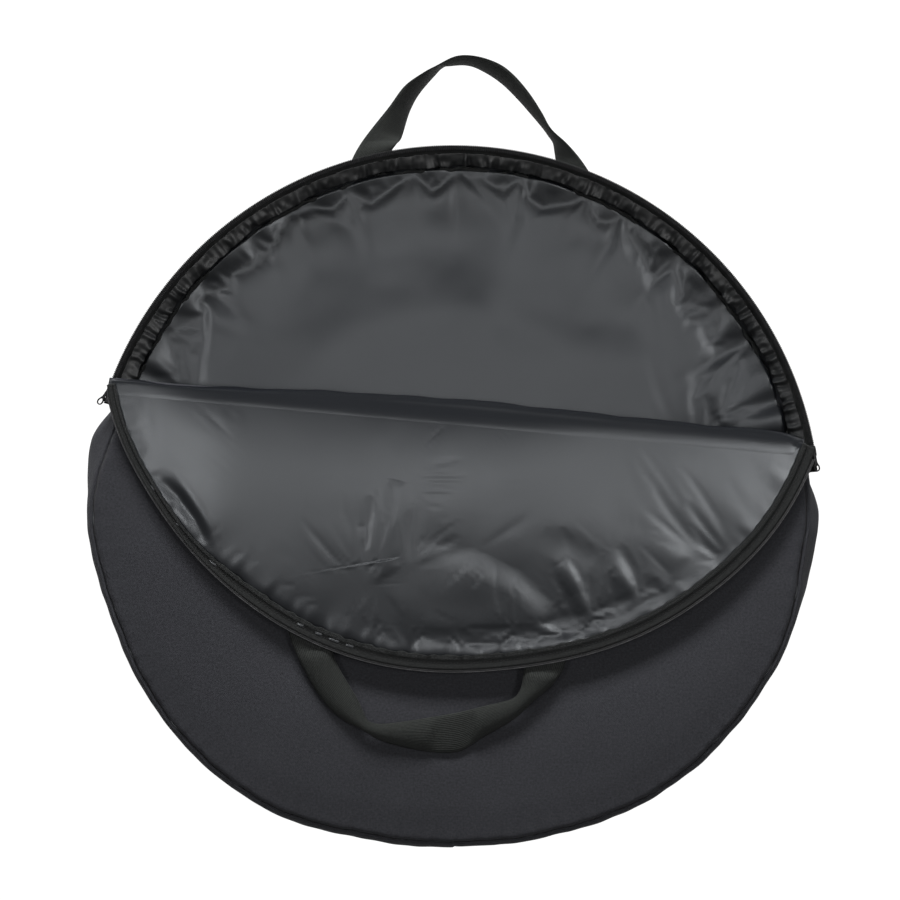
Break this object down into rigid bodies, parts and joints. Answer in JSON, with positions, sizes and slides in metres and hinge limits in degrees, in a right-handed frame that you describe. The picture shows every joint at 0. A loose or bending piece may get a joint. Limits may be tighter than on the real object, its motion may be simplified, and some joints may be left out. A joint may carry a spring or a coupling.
{
  "type": "bike wheel bag",
  "caption": "Round padded zip bag for one bicycle wheel, lying on its back with its front flap folded down and a webbing handle on each face.",
  "frame": {"origin": "centre of the round outline, on the outside of the back, where the bag lies", "axes": "+Z out of the bag's front, +Y towards its carrying handles, +X to the right seen from the front"},
  "size_m": [0.7533, 0.8162, 0.0763],
  "materials": {
    "back_panel": "matt woven polyester",
    "back_padding": "closed-cell foam sheet",
    "back_lining": "smooth satin lining",
    "back_seam_binding": "woven binding tape",
    "side_band_lower": "matt woven polyester",
    "side_band_upper": "matt woven polyester",
    "side_lining_lower": "smooth satin lining",
    "side_lining_upper": "smooth satin lining",
    "side_top_binding": "woven binding tape",
    "front_seam_binding": "woven binding tape",
    "front_panel": "matt woven polyester",
    "front_padding": "closed-cell foam sheet",
    "front_lining": "smooth satin lining",
    "fold_outer": "matt woven polyester",
    "fold_padding": "closed-cell foam sheet",
    "fold_lining": "smooth satin lining",
    "zipper_tape_side": "woven zipper tape",
    "zipper_teeth_side": "moulded zipper teeth",
    "zipper_stop_left": "moulded stop",
    "zipper_stop_right": "moulded stop",
    "back_handle_end_left": "ribbed webbing",
    "back_handle_end_right": "ribbed webbing",
    "flap_panel": "matt woven polyester",
    "flap_padding": "closed-cell foam sheet",
    "flap_lining": "smooth satin lining",
    "flap_binding": "woven binding tape",
    "zipper_tape_flap": "woven zipper tape",
    "zipper_teeth_flap": "moulded zipper teeth",
    "front_handle_end_left": "ribbed webbing",
    "front_handle_end_right": "ribbed webbing",
    "zipper_slider_left": "black die-cast slider",
    "zipper_slider_right": "black die-cast slider",
    "zipper_pull_left": "black stamped pull",
    "zipper_pull_right": "black stamped pull",
    "back_handle": "ribbed webbing",
    "front_handle": "ribbed webbing"
  },
  "bodies": {
    "bag": {"back_panel": "back_panel", "back_padding": "back_padding", "back_lining": "back_lining", "back_seam_binding": "back_seam_binding", "side_band_lower": "side_band_lower", "side_band_upper": "side_band_upper", "side_lining_lower": "side_lining_lower", "side_lining_upper": "side_lining_upper", "side_top_binding": "side_top_binding", "front_seam_binding": "front_seam_binding", "front_panel": "front_panel", "front_padding": "front_padding", "front_lining": "front_lining", "fold_outer": "fold_outer", "fold_padding": "fold_padding", "fold_lining": "fold_lining", "zipper_tape_side": "zipper_tape_side", "zipper_teeth_side": "zipper_teeth_side", "zipper_stop_left": "zipper_stop_left", "zipper_stop_right": "zipper_stop_right", "back_handle_end_left": "back_handle_end_left", "back_handle_end_right": "back_handle_end_right"},
    "flap": {"flap_panel": "flap_panel", "flap_padding": "flap_padding", "flap_lining": "flap_lining", "flap_binding": "flap_binding", "zipper_tape_flap": "zipper_tape_flap", "zipper_teeth_flap": "zipper_teeth_flap", "front_handle_end_left": "front_handle_end_left", "front_handle_end_right": "front_handle_end_right"},
    "zipper_slider_left": {"zipper_slider_left": "zipper_slider_left"},
    "zipper_slider_right": {"zipper_slider_right": "zipper_slider_right"},
    "zipper_pull_left": {"zipper_pull_left": "zipper_pull_left"},
    "zipper_pull_right": {"zipper_pull_right": "zipper_pull_right"},
    "back_handle": {"back_handle": "back_handle"},
    "front_handle": {"front_handle": "front_handle"}
  },
  "joints": [
    {"name": "flap_fold", "type": "hinge", "parent": "bag", "child": "flap", "pos_m": [0.00952, 0.10607, 0.068], "axis": [0.996, -0.0894, 0], "range_deg": [-180, 0], "deforming": ["fold_outer", "fold_padding", "fold_lining"]},
    {"name": "slider_left_run", "type": "hinge", "parent": "bag", "child": "zipper_slider_left", "pos_m": [0, 0, 0], "axis": [0, 0, 1], "range_deg": [-71.5, 0]},
    {"name": "slider_right_run", "type": "hinge", "parent": "bag", "child": "zipper_slider_right", "pos_m": [0, 0, 0], "axis": [0, 0, -1], "range_deg": [-74.85, 0]},
    {"name": "pull_left_swing", "type": "hinge", "parent": "zipper_slider_left", "child": "zipper_pull_left", "pos_m": [-0.35239, 0.12826, 0.0672], "axis": [-0.9397, 0.342, 0], "range_deg": [0, 170]},
    {"name": "pull_right_swing", "type": "hinge", "parent": "zipper_slider_right", "child": "zipper_pull_right", "pos_m": [0.36969, 0.06286, 0.0672], "axis": [-0.9859, -0.1676, 0], "range_deg": [0, 170]},
    {"name": "back_handle_swing", "type": "hinge", "parent": "bag", "child": "back_handle", "pos_m": [0.0227, 0.37114, 0.0403], "axis": [0.9981, -0.061, 0], "range_deg": [0, 90]},
    {"name": "front_handle_swing", "type": "hinge", "parent": "flap", "child": "front_handle", "pos_m": [-0.02438, -0.1542, 0.0697], "axis": [-0.993, 0.1177, 0], "range_deg": [0, 85]}
  ]
}
